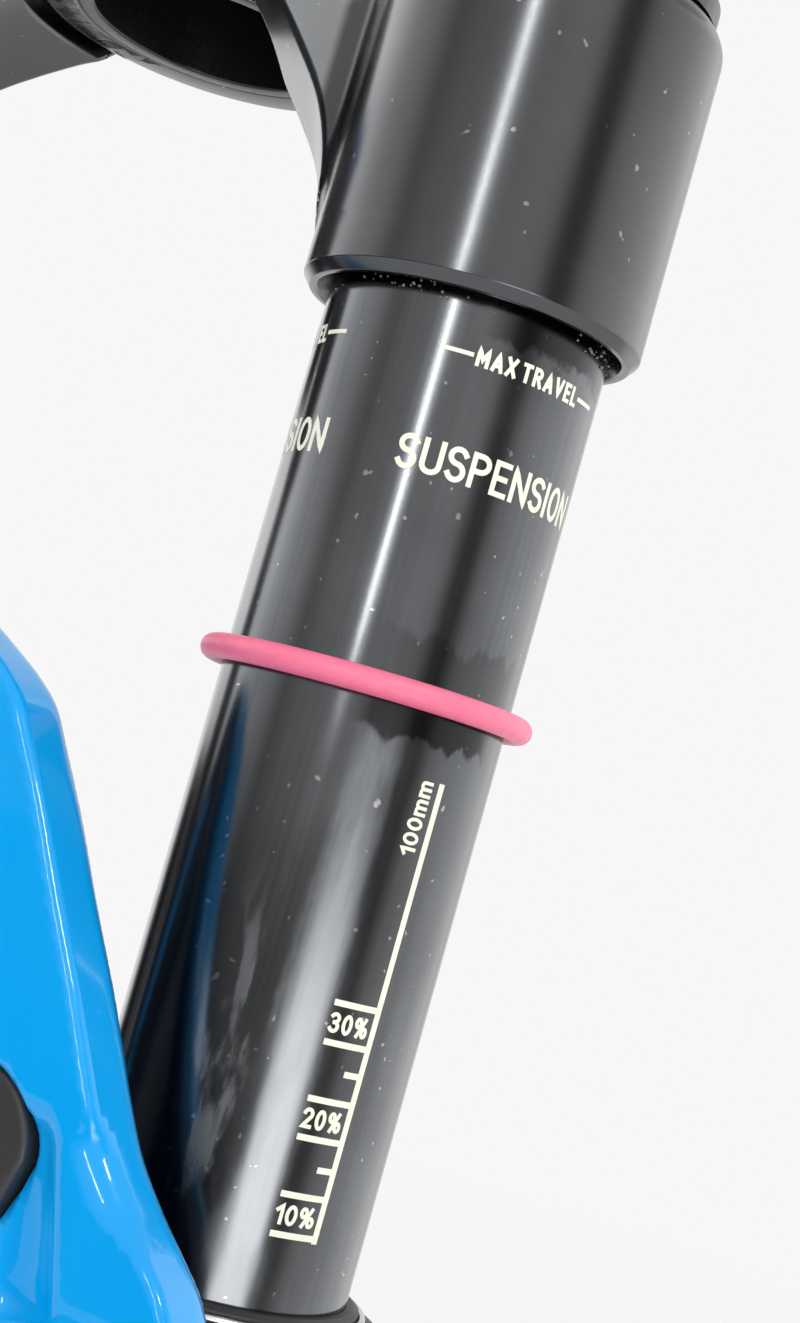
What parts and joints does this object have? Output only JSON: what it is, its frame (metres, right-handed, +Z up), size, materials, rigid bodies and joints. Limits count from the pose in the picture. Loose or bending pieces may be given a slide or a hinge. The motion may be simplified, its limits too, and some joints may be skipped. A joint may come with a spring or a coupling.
{
  "type": "bicycle suspension fork",
  "caption": "Bicycle suspension fork: tapered steerer, forged crown, printed black upper tubes with a rubber sag ring, and a one-piece lower casting that telescopes over them on air.",
  "frame": {"origin": "on the steering axis at the crown race seat", "axes": "+Z up the steerer along the steering axis, -Y to the front of the bicycle, +X to the rider's left"},
  "size_m": [0.177, 0.0878, 0.7835],
  "materials": {
    "anodised_alloy": "satin grey anodised aluminium",
    "crown_black": "satin black anodised forging",
    "stanchion_black": "gloss black hard-anodised tube with a pale printed scale",
    "ring_rubber": "pink-red rubber",
    "machined_alloy": "machined aluminium",
    "black_rubber": "matt black rubber",
    "seal_rubber": "matt black moulded rubber",
    "spring_steel": "bright steel",
    "cap_black": "black anodised, turned",
    "valve_brass": "nickel-pale brass",
    "cap_plastic": "black moulded plastic",
    "spacer_plastic": "orange moulded plastic",
    "piston_plastic": "white acetal",
    "knob_blue": "blue anodised",
    "knob_red": "red anodised",
    "fastener_black": "black oxide steel",
    "washer_alloy": "soft aluminium",
    "foam": "oiled open-cell foam",
    "bushing": "bronze-lined steel strip",
    "casting_blue": "gloss blue paint over cast magnesium"
  },
  "bodies": {
    "uppers": {"steerer_tube": "anodised_alloy", "crown": "crown_black", "air_stanchion": "stanchion_black", "damper_stanchion": "stanchion_black", "air_seal_head": "machined_alloy", "damper_seal_head": "machined_alloy", "air_seal_head_oring": "black_rubber", "damper_seal_head_oring": "black_rubber", "air_circlip": "spring_steel", "damper_circlip": "spring_steel", "air_top_cap": "cap_black", "air_top_cap_oring": "black_rubber", "air_valve_stem": "valve_brass", "air_valve_core": "valve_brass", "volume_spacers": "spacer_plastic", "top_out_bumper": "black_rubber", "damper_top_cap": "cap_black", "damper_top_cap_oring": "black_rubber", "compression_piston": "machined_alloy", "compression_shims": "spring_steel", "compression_shaft": "machined_alloy", "damper_cartridge_tube": "machined_alloy", "damper_bladder": "black_rubber"},
    "lowers": {"lower_legs": "casting_blue", "air_shaft": "machined_alloy", "air_piston": "piston_plastic", "air_piston_seal": "black_rubber", "air_piston_glide_ring": "piston_plastic", "bottom_out_bumper": "black_rubber", "air_foot_bolt": "fastener_black", "damper_foot_bolt": "fastener_black", "crush_washers": "washer_alloy", "rebound_shaft": "machined_alloy", "rebound_piston": "machined_alloy", "rebound_piston_glide_ring": "piston_plastic", "rebound_shims": "spring_steel", "brake_hose_guide": "cap_plastic", "hose_guide_screw": "fastener_black", "air_wiper_seal": "seal_rubber", "air_garter_spring": "spring_steel", "air_foam_ring": "foam", "air_upper_bushing": "bushing", "air_lower_bushing": "bushing", "damper_wiper_seal": "seal_rubber", "damper_garter_spring": "spring_steel", "damper_foam_ring": "foam", "damper_upper_bushing": "bushing", "damper_lower_bushing": "bushing"},
    "sag_ring": {"sag_ring": "ring_rubber"},
    "lockout_knob": {"lockout_knob": "knob_blue", "lockout_knob_screw": "spring_steel", "compression_spool": "spring_steel"},
    "rebound_knob": {"rebound_knob": "knob_red", "rebound_adjuster_rod": "machined_alloy"},
    "valve_cap": {"air_valve_cap": "cap_plastic"},
    "valve_pin": {"air_valve_pin": "spring_steel"}
  },
  "joints": [
    {"name": "fork_travel", "type": "slide", "parent": "uppers", "child": "lowers", "axis": [0, 0, 1], "range_m": [0, 0.1], "stiffness_N_per_m": 6000, "springref_m": -0.015},
    {"name": "sag_ring_slide", "type": "slide", "parent": "uppers", "child": "sag_ring", "axis": [0, 0, 1], "range_m": [0, 0.0373]},
    {"name": "lockout_turn", "type": "hinge", "parent": "uppers", "child": "lockout_knob", "pos_m": [-0.068, -0.028, -0.02], "axis": [0, 0, 1], "range_deg": [0, 90]},
    {"name": "rebound_turn", "type": "hinge", "parent": "lowers", "child": "rebound_knob", "pos_m": [-0.068, -0.028, -0.504], "axis": [0, 0, -1], "range_deg": [0, 330]},
    {"name": "valve_cap_lift", "type": "slide", "parent": "uppers", "child": "valve_cap", "axis": [0, 0, 1], "range_m": [0, 0.02]},
    {"name": "valve_pin_press", "type": "slide", "parent": "uppers", "child": "valve_pin", "axis": [0, 0, -1], "range_m": [0, 0.0015], "stiffness_N_per_m": 400}
  ],
  "couplings": [
    {"joint": "sag_ring_slide", "follows": "fork_travel", "ratio": 0.373}
  ]
}
